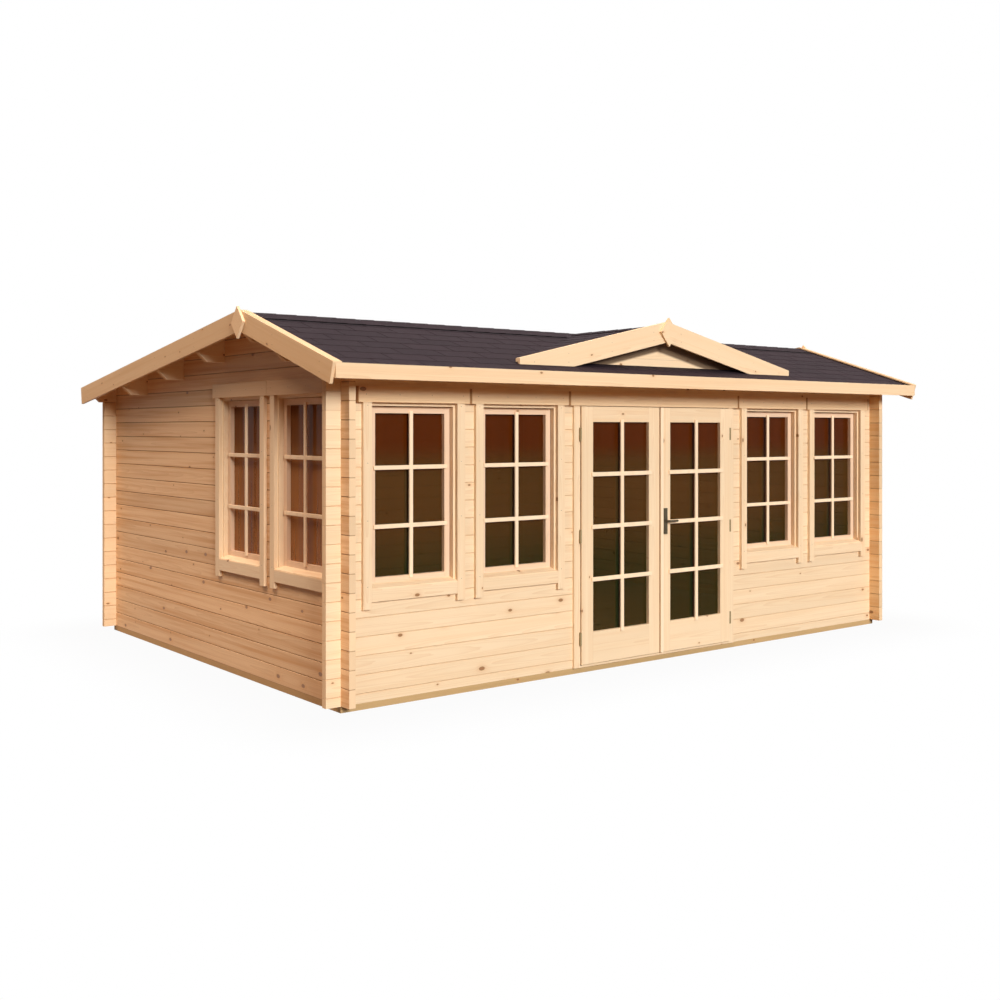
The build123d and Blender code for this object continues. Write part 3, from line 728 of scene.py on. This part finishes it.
# glazing bars

bars = {
    "windowWidth": 0.027,
    "doorWidth": 0.030,
    "windowDepth": 0.040,
    "doorDepth": 0.042,
    "thickness": 0.012,
    "step": 0.001,
    "round": 0.004,
    "lap": 0.015,
    "doorLap": 0.018,
    "levels": (1.056, 1.418),
}


def barProfile(width, thickness, radius):
    # rounded outer corners: radius * (cos t, sin t) round each corner's centre, t turning through 90 degrees
    t = np.linspace(0, np.pi / 2, 4)
    half = width / 2
    across, out = half - radius + radius * np.cos(t), thickness - radius + radius * np.sin(t)
    right = np.stack([across, out], axis=1)
    left = right[::-1] * [-1, 1]
    return np.concatenate([[[half, 0.0]], right, left, [[-half, 0.0]]])


def gridBars(centre, side, up, outward, halfWidth, foot, head, heights, lap, width):
    # bars on the face of one sash: an upright in the middle and levels at the given heights, a step thinner
    upright = barProfile(width, bars["thickness"], bars["round"])
    level = barProfile(width, bars["thickness"] - bars["step"], bars["round"])
    post = sweepBars([centre + up * (foot - lap)], [centre + up * (head + lap)], [side], outward, upright)
    starts = [centre - side * (halfWidth + lap) + up * z for z in heights]
    ends = [centre + side * (halfWidth + lap) + up * z for z in heights]
    return [post, sweepBars(starts, ends, [up] * len(heights), outward, level)]


def joinParts(parts):
    points, faces, count = [], [], 0
    for part, partFaces in parts:
        part = np.asarray(part).reshape(-1, 3)
        points.append(part)
        faces += [[i + count for i in face] for face in partFaces]
        count += len(part)
    return np.concatenate(points), faces


up = np.array([0.0, 0.0, 1.0])
xAxis = np.array([1.0, 0.0, 0.0])
yAxis = np.array([0.0, 1.0, 0.0])
windowFoot = wallFoot + windows["sill"] + 0.062
windowHead = wallFoot + windows["head"] - 0.044
windowPlaces = []
for side in (-1, 1):
    for step in (0, 1):
        x = side * (windows["offset"] + step * windows["pitch"])
        windowPlaces.append((np.array([x, frontFace + windows["sashFace"], 0.0]), xAxis, -yAxis))
    place = (leftFace + windows["sashFace"], ridgeY + side * windows["pitch"] / 2, windows["lift"])
    windowPlaces.append((np.array(place), yAxis, -xAxis))
parts = []
for centre, side, outward in windowPlaces:
    heights = [wallFoot + level for level in bars["levels"]]
    for face, way in ((centre, outward), (centre - outward * bars["windowDepth"], -outward)):
        parts += gridBars(face, side, up, way, windows["sashInner"], windowFoot, windowHead, heights,
                          bars["lap"], bars["windowWidth"])
addMesh("window_bars", *joinParts(parts), barTimber, "cabin", "wood")

leafFoot = wallFoot + doors["foot"] + doors["footRail"]
leafHead = wallFoot + doors["head"] - doors["headRail"]
leafCentre = doors["gap"] / 2 + doors["width"] / 2
leafFace = frontFace - doors["proud"]
for side, word in ((-1, "left"), (1, "right")):
    centre = np.array([side * leafCentre, leafFace, 0.0])
    heights = leafFoot + (leafHead - leafFoot) * np.array([0.25, 0.5, 0.75])
    part = []
    for face, way in ((centre, -yAxis), (centre + yAxis * bars["doorDepth"], yAxis)):
        part += gridBars(face, xAxis, up, way, doors["width"] / 2 - doors["stile"], leafFoot, leafHead,
                         heights, bars["doorLap"], bars["doorWidth"])
    addMesh(f"door_bars_{word}", *joinParts(part), barTimber, f"{word}_leaf", "wood")
print("glazing bars")

# door furniture and closing strip

strip = {"width": 0.028, "thickness": 0.011, "round": 0.004}
stripMiddle = doors["gap"] / 2 + strip["width"] / 2
foot, head = wallFoot + doors["foot"], wallFoot + doors["head"]
part = sweepBars([[stripMiddle, leafFace, foot]], [[stripMiddle, leafFace, head]], [xAxis], -yAxis,
                 barProfile(strip["width"], strip["thickness"], strip["round"]))
addMesh("closing_strip", *part, barTimber, "right_leaf", "wood")

lever = {"radius": 0.0075, "bend": 0.016, "sides": 16, "steps": 9}


def tube(path, radius, sides):
    # point = path + radius * (cos a * level normal + sin a * up), closed at both ends; the path is level
    path = np.asarray(path, float)
    radius = np.broadcast_to(np.asarray(radius, float), len(path))
    along = np.gradient(path, axis=0)
    along /= np.linalg.norm(along, axis=1)[:, None]
    beside = np.cross(along, up)
    a = np.linspace(0, 2 * np.pi, sides, endpoint=False)
    ring = np.cos(a)[None, :, None] * beside[:, None] + np.sin(a)[None, :, None] * up
    points = path[:, None] + radius[:, None, None] * ring
    rings = np.arange(len(path) - 1)[:, None] * sides
    near = rings + np.arange(sides)
    following = rings + (np.arange(sides) + 1) % sides
    quads = np.stack([near, near + sides, following + sides, following], axis=-1).reshape(-1, 4)
    ends = [list(range(sides)), list(range(len(points) * sides - 1, (len(points) - 1) * sides - 1, -1))]
    return points.reshape(-1, 3), quads.tolist() + ends


leverLow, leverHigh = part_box("door_lever")
plateLow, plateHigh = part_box("handle_plates")
radius, bend = lever["radius"], lever["bend"]
axisY = leverLow.y + radius
axisX = leverLow.x + 0.009
axisZ = (leverLow.z + leverHigh.z) / 2
turn = np.linspace(0, np.pi / 2, lever["steps"])
curveX, curveY = axisX + bend - bend * np.cos(turn), axisY + bend - bend * np.sin(turn)
curve = np.stack([curveX, curveY, axisZ + turn * 0], 1)
grip = np.linspace(axisX + bend, leverHigh.x - 0.004, 6)[1:]
straight = np.stack([grip, axisY + grip * 0, axisZ + grip * 0], 1)
path = np.concatenate([[[axisX, plateLow.y + 0.001, axisZ]], curve, straight, [[leverHigh.x, axisY, axisZ]]])
sizes = np.full(len(path), radius)
sizes[-1] = radius * 0.6
inner = path * [1, -1, 1] + [0, plateLow.y + plateHigh.y, 0]
both = joinParts([tube(path, sizes, lever["sides"]), tube(inner, sizes, lever["sides"])])
piece = addMesh("lever_handle", *both, satinSteel, "lever", "steel", smooth=True)
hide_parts("door_lever")

fixings = {
    "cap": (0.0084, 0.0035),
    "screw": (0.0042, 0.0014),
    "nail": (0.0022, 0.0009),
    "collar": (0.0125, 0.0038),
    "cylinder": (0.0085, 0.003),
    "keyway": (0.010, 0.0022, 0.001),
    "bore": 0.0080,
    "sides": 12,
    "plateEnd": 0.016,
    "keyDrop": 0.052,
    "keyLength": 0.020,
    "hinges": (0.240, 0.951, 1.659),
    "hingeHalf": 0.044,
}


def domes(centres, side, outward, size):
    # point = centre + radius cos t (cos a * side + sin a * across) + height sin t * outward,
    # closed at the pole
    centres = np.asarray(centres, float).reshape(-1, 3)
    side, outward = np.asarray(side, float), np.asarray(outward, float)
    radius, height = size
    count = fixings["sides"]
    a = np.linspace(0, 2 * np.pi, count, endpoint=False)
    t = np.array([0.0, 0.55, 1.1])[:, None, None]
    ring = np.cos(a)[:, None] * side + np.sin(a)[:, None] * np.cross(outward, side)
    shell = radius * np.cos(t) * ring + height * np.sin(t) * outward
    points = centres[:, None] + np.concatenate([shell.reshape(-1, 3), [height * outward]])
    near = np.arange(count)
    following = (near + 1) % count
    walls = [np.stack([near, following, following + count, near + count], 1) + k * count for k in (0, 1)]
    crown = np.stack([near + 2 * count, following + 2 * count, near * 0 + 3 * count], 1)
    faces = []
    for pattern in (*walls, crown, near[None, ::-1]):
        steps = np.arange(len(centres))[:, None, None] * (3 * count + 1)
        faces += (steps + pattern).reshape(-1, pattern.shape[1]).tolist()
    return points.reshape(-1, 3), faces


def collar(centre, side, outward, size, bore, count=16):
    # point = centre + radius (cos a * side + sin a * across) + height * outward, round a closed section
    # of four corners that leaves the bore free
    radius, height = size
    section = np.array([[bore, 0.0], [radius, 0.0], [radius * 0.86, height * 0.6], [bore, height]])
    side, outward = np.asarray(side, float), np.asarray(outward, float)
    a = np.linspace(0, 2 * np.pi, count, endpoint=False)
    ring = np.cos(a)[:, None] * side + np.sin(a)[:, None] * np.cross(outward, side)
    beside, above = section[:, 0, None, None] * ring, section[:, 1, None, None] * outward
    points = np.asarray(centre, float) + beside + above
    near = np.arange(count)
    following = (near + 1) % count
    faces = []
    for k in range(4):
        low, high = k * count, (k + 1) % 4 * count
        faces += np.stack([near + low, following + low, following + high, near + high], 1).tolist()
    return points.reshape(-1, 3), faces


# caps on the hinge pins: the frame's below, the leaf's above
hingeLow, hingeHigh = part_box("frame_hinges")
hingeX = hingeHigh.x - 0.008
hingeY = hingeLow.y + 0.008
below = [(way * hingeX, hingeY, z - fixings["hingeHalf"]) for way in (-1, 1) for z in fixings["hinges"]]
caps = domes(below, xAxis, -up, fixings["cap"])
addMesh("hinge_caps_frame", *caps, hingeBrass, "cabin", "steel", smooth=True)
for way, word in ((-1, "left"), (1, "right")):
    above = [(way * hingeX, hingeY, z + fixings["hingeHalf"]) for z in fixings["hinges"]]
    caps = domes(above, xAxis, up, fixings["cap"])
    addMesh(f"hinge_caps_{word}", *caps, hingeBrass, f"{word}_leaf", "steel", smooth=True)

# plate screws, collars round the lever and the lock's cylinder, on both faces of the leaf
plateX = (plateLow.x + plateHigh.x) / 2
screwLevels = (plateLow.z + fixings["plateEnd"], plateHigh.z - fixings["plateEnd"])
lock = []
for faceY, out in ((plateLow.y, -yAxis), (plateHigh.y, yAxis)):
    lock.append(domes([(plateX, faceY, z) for z in screwLevels], xAxis, out, fixings["screw"]))
    lock.append(collar((axisX, faceY, axisZ), xAxis, out, fixings["collar"], fixings["bore"]))
    keyZ = axisZ - fixings["keyDrop"]
    lock.append(domes([(plateX, faceY, keyZ)], xAxis, out, fixings["cylinder"]))
    keyFoot = [[plateX, faceY, keyZ - fixings["keyLength"]]]
    lock.append(sweepBars(keyFoot, [[plateX, faceY, keyZ]], [xAxis], out, barProfile(*fixings["keyway"])))
addMesh("lock_fittings", *joinParts(lock), satinSteel, "right_leaf", "steel")
print("door furniture")

# nails in the trims, header boards and bargeboards
nailing = {
    # distance from a window's middle, heights over the wall's foot, how proud of the wall
    "windows": (
        (0.347, (0.70, 1.10, 1.45, 1.80), 0.024),
        (0.36, (1.867,), 0.028),
        (0.12, (1.867,), 0.028),
    ),
    "gable": (-1.98, -1.3875, -0.2095, 0.5085, 1.2265, 1.98),
    "gableDrops": (0.045, 0.105),
    "cross": (0.14, 0.55, 0.95, 1.25),
    "crossDrops": (0.04, 0.10),
}
nailed = []
for centre, side, outward in windowPlaces:
    base = centre + outward * windows["sashFace"]
    for across, levels, proud in nailing["windows"]:
        face = base + outward * proud
        spots = [face + side * u + up * (wallFoot + z) for u in (-across, across) for z in levels]
        nailed.append(domes(spots, up, outward, fixings["nail"]))
for way in (-1, 1):
    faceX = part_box("bargeboards_left")[0].x * -way
    spots = []
    for y in nailing["gable"]:
        fall = roof["front"] if y < ridgeY else roof["rear"]
        top = roofTop - fall * abs(y - ridgeY)
        spots += [(faceX, y, top - drop) for drop in nailing["gableDrops"]]
    nailed.append(domes(spots, up, xAxis * way, fixings["nail"]))
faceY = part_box("dormer_bargeboards")[0].y
spots = [
    (way * x, faceY, crossTop - roof["cross"] * x - drop)
    for way in (-1, 1)
    for x in nailing["cross"]
    for drop in nailing["crossDrops"]
]
nailed.append(domes(spots, up, -yAxis, fixings["nail"]))
addMesh("nail_heads", *joinParts(nailed), satinSteel, "cabin", "steel")
print("nails")

# shingles

shingles = {
    "tab": 0.325,
    "slot": 0.005,
    "exposure": 0.143,
    "lap": 0.03,
    "sheet": 0.0012,
    "thickness": 0.002,
    "rise": 0.0021,
    "leastWidth": 0.01,
}
boxFaces = [[0, 1, 2, 3], [7, 6, 5, 4], [0, 4, 5, 1], [1, 5, 6, 2], [2, 6, 7, 3], [3, 7, 4, 0]]


def tabSlabs(low, high, surface):
    # slabs over (along, down) rectangles: lift = sheet + rise * t, plus the thickness on top, where t runs
    # from 0 at the upper edge to 1 at the lower edge; surface(along, down, lift) gives the point
    alongs = np.stack([low[:, 0], high[:, 0], high[:, 0], low[:, 0]], axis=1)
    downs = np.stack([low[:, 1], low[:, 1], high[:, 1], high[:, 1]], axis=1)
    under = shingles["sheet"] + shingles["rise"] * np.array([0.0, 0.0, 1.0, 1.0])[None, :]
    over = under + shingles["thickness"]
    points = np.stack([surface(alongs, downs, under), surface(alongs, downs, over)], axis=1)
    base = np.arange(len(low))[:, None] * 8
    return points.reshape(-1, 3), (base[:, None] + np.array(boxFaces)[None]).reshape(-1, 4).tolist()


def courses(length, alongStart, alongEnd):
    # low and high corners of the tabs, course by course from the eave, every second course half a tab over
    rows = int(math.ceil(length / shingles["exposure"]))
    tab, slot = shingles["tab"], shingles["slot"]
    count = int((alongEnd - alongStart) / tab) + 3
    row, place = np.meshgrid(np.arange(rows), np.arange(count), indexing="ij")
    first = alongStart + (place - 1 + 0.5 * (row % 2)) * tab
    lowAlong = np.clip(first + slot / 2, alongStart, alongEnd)
    highAlong = np.clip(first + tab - slot / 2, alongStart, alongEnd)
    highDown = length - row * shingles["exposure"]
    lowDown = np.clip(highDown - shingles["exposure"] - shingles["lap"], 0, length)
    keep = highAlong - lowAlong > shingles["leastWidth"]
    return np.stack([lowAlong, lowDown], -1)[keep], np.stack([highAlong, highDown], -1)[keep]


def addTabs(name, slopes, replaced, seed):
    # a sheet and its tabs over each slope; a slope is (low, high, surface, sheet corners as (along, down))
    parts, counts = [], []
    for low, high, surface, corners in slopes:
        alongs, downs = np.array(corners, float).T
        sheet = np.stack([surface(alongs, downs, lift + 0 * downs) for lift in (0, shingles["sheet"])])
        parts += [(sheet, boxFaces), tabSlabs(low, high, surface)]
        counts += [1, len(low)]
    points, faces = joinParts(parts)
    piece = addMesh(name, points, faces, shingleFelt, "cabin", "felt_shingles")
    tones = np.random.default_rng(seed).random(sum(counts)).astype(np.float32)
    tones[np.cumsum([0] + counts[:-1])[::2]] = 0
    giveTones(piece, tones, 8)
    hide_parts(replaced)


def giveTones(piece, tones, pointsEach):
    # one tone for each tab, read by the felt
    tone = piece.data.attributes.new("tabTone", "FLOAT", "POINT")
    tone.data.foreach_set("value", np.repeat(tones.astype(np.float32), pointsEach))


def addRidgeTabs(name, start, end, side, falls, reach, replaced, seed):
    # folded tabs along a ridge, each lapping over the next; the fold is a chevron: height = -fall * distance
    start, end = np.asarray(start, float), np.asarray(end, float)
    length = np.linalg.norm(end - start)
    way = (end - start) / length
    first = np.arange(0, length - ridgeTabs["length"] / 2, ridgeTabs["exposure"])
    last = np.minimum(first + ridgeTabs["length"], length)
    thick = ridgeTabs["thickness"]
    near, far = falls
    fold = [(-reach, -near * reach), (0, 0), (reach, -far * reach),
            (reach, thick - far * reach), (0, thick), (-reach, thick - near * reach)]
    starts = start + first[:, None] * way
    ends = start + last[:, None] * way + up * ridgeTabs["rise"]
    sides = np.broadcast_to(side, starts.shape)
    piece = addMesh(name, *sweepBars(starts, ends, sides, up, fold), shingleFelt, "cabin", "felt_shingles")
    giveTones(piece, np.random.default_rng(seed).random(len(first)), 12)
    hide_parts(replaced)


def mainSurface(way, fall):
    # (x, ridge + way * down, sheet's underside - fall * down + lift); way is -1 to the front, 1 to the rear
    def surface(along, down, lift):
        height = roofTop - roofLine - fall * down + lift
        return np.stack([along * -way, ridgeY + way * down, height + along * 0], -1)
    return surface


def crossSurface(way):
    # (way * down, along, underside - slope * down + lift), along cut off at the valley
    def surface(along, down, lift):
        along = np.minimum(along, ridgeY - down * roof["cross"] / roof["front"])
        return np.stack([way * down, along, crossUnder - roof["cross"] * down + lift + along * 0], -1)
    return surface


for name in ("shingles_front", "shingles_rear"):
    low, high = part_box(name)
    way, fall = (-1, roof["front"]) if name == "shingles_front" else (1, roof["rear"])
    roofLine = roofTop - high.z + roof["shingle"]
    length = high.y - low.y
    tabsLow, tabsHigh = courses(length, low.x, high.x)
    corners = [(low.x, 0), (high.x, 0), (high.x, length), (low.x, length)]
    addTabs(name + "_tabs", [(tabsLow, tabsHigh, mainSurface(way, fall), corners)], name, 5 + way)

low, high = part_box("dormer_shingles")
crossUnder = high.z - roof["shingle"]
slopes = []
for way in (-1, 1):
    length = high.x
    tabsLow, tabsHigh = courses(length, low.y, ridgeY)
    valley = ridgeY - tabsHigh[:, 1] * roof["cross"] / roof["front"]
    keep = tabsLow[:, 0] < valley - 0.005
    corners = [(low.y, 0), (ridgeY, 0), (ridgeY, length), (low.y, length)]
    if way < 0:
        corners = corners[::-1]
    slopes.append((tabsLow[keep], tabsHigh[keep], crossSurface(way), corners))
addTabs("dormer_shingles_tabs", slopes, "dormer_shingles", 9)

capLow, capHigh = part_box("ridge_cap")
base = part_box("shingles_front")[1].z - roof["shingle"] + ridgeTabs["lift"]
start, end = (capLow.x, ridgeY, base), (capHigh.x, ridgeY, base)
falls = (roof["front"], roof["rear"])
addRidgeTabs("ridge_tabs", start, end, yAxis, falls, ridgeTabs["reach"], "ridge_cap", 11)
start, end = (0, ridgeY - 0.003, base), (0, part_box("dormer_ridge_cap")[0].y, base)
falls = (roof["cross"], roof["cross"])
addRidgeTabs("dormer_ridge_tabs", start, end, xAxis, falls, ridgeTabs["crossReach"], "dormer_ridge_cap", 12)
print("shingles")

# camera, light and floor

view = {"place": (-6.222, -8.0555, 1.693), "yaw": 38.466, "focal": 1187.99, "middle": (519.30, 429.53)}
camera = bpy.data.objects.new("camera", bpy.data.cameras.new("camera"))
bpy.context.collection.objects.link(camera)
camera.location = view["place"]
camera.rotation_euler = (math.radians(90), 0, -math.radians(view["yaw"]))
camera.data.sensor_width = 36
camera.data.lens = view["focal"] * 36 / 1000
camera.data.shift_x = (500 - view["middle"][0]) / 1000
camera.data.shift_y = (view["middle"][1] - 500) / 1000
camera.data.clip_end = 200
bpy.context.scene.camera = camera

light = {
    "sun": 3.2,
    "sunHeight": 19.5,
    "sunTurn": 9,
    "sunSize": 20,
    "sunColour": (0.98, 1.0, 1.0),
    "ambient": 0.07,
    "ambientColour": (1.0, 0.50, 0.22),
    "fill": 3.3,
    "fillHeight": 69,
    "fillSize": 45,
    "fillColour": (1.0, 0.79, 0.65),
    "back": 1.7,
    "backHeight": 26,
    "backTurn": 212,
    "fillTurn": 90,
    "room": 20,
    "roomColour": (1.0, 0.50, 0.24),
    "roomHeight": 1.7,
    "roomSize": 0.4,
}


def addSun(name, energy, size, colour, height, turn):
    # light from the given height over the floor, turned from the front towards the left
    lamp = bpy.data.objects.new(name, bpy.data.lights.new(name, "SUN"))
    lamp.data.energy = energy
    lamp.data.angle = math.radians(size)
    lamp.data.color = colour
    lamp.rotation_euler = (math.radians(90 - height), 0, -math.radians(turn))
    return lamp


size, colour = light["sunSize"], light["sunColour"]
sun = addSun("sun", light["sun"], size, colour, light["sunHeight"], light["sunTurn"])
back = addSun("back", light["back"], size, colour, light["backHeight"], light["backTurn"])
size, colour = light["fillSize"], light["fillColour"]
fill = addSun("fill", light["fill"], size, colour, light["fillHeight"], light["fillTurn"])
room = bpy.data.objects.new("room", bpy.data.lights.new("room", "POINT"))
room.data.energy = light["room"]
room.data.color = light["roomColour"]
room.data.shadow_soft_size = light["roomSize"]
room.location = (0, 0, light["roomHeight"])
for lamp in (sun, fill, back, room):
    lamp.visible_camera = False
    lamp.visible_glossy = False
    bpy.context.collection.objects.link(lamp)



def seenRay(g):
    # 1 for what the camera sees, straight or in the glass, and 0 for what lights the cabin
    path = g.node("LightPath", out="Is Camera Ray")
    return g.maths("MINIMUM", path + path.also("Is Glossy Ray") + path.also("Is Transmission Ray"), 1.0)


world = Graph(bpy.data.worlds.new("studio"))
bpy.context.scene.world = world.owner
seen = seenRay(world)
strength = light["ambient"] + (1 - light["ambient"]) * seen
colour = world.mix(seen, light["ambientColour"], (1.0, 1.0, 1.0))
background = world.node("Background", None, {"Strength": strength, "Color": colour})
world.node("OutputWorld", None, {"Surface": background})

ground = {"white": 0.96, "reach": 1.1, "colour": (0.115, 0.056, 0.024), "half": 60, "height": -0.001}


def floorMaterial():
    # keeps the shadow round the cabin's foot and turns to the background's white further out
    g = newGraph("studio floor")
    x, y, _ = g.place()
    besideX = g.maths("MAXIMUM", abs(x) - rightFace, 0.0)
    besideY = g.maths("MAXIMUM", abs(y - (frontFace + rearFace) / 2) - (rearFace - frontFace) / 2, 0.0)
    away = (besideX * besideX + besideY * besideY).sqrt()
    mask = (ground["white"] + (1 - ground["white"]) * g.smooth(away, 0.0, ground["reach"])) * seenRay(g)
    matt = g.node("BsdfDiffuse", None, {"Color": opaque(ground["colour"])})
    white = g.node("Emission", None, {"Color": (1, 1, 1, 1), "Strength": 1.0})
    g.node("OutputMaterial", None, {"Surface": g.node("MixShader", None, {0: mask, 1: matt, 2: white})})
    return g.owner


half = ground["half"]
corners = ((-half, -half), (half, -half), (half, half), (-half, half))
floorPoints = [(x, y, ground["height"]) for x, y in corners]
floor = addMesh("floor", floorPoints, [[0, 1, 2, 3]], floorMaterial(), None, None)

bpy.context.scene.view_settings.view_transform = "Standard"
print("camera and light")
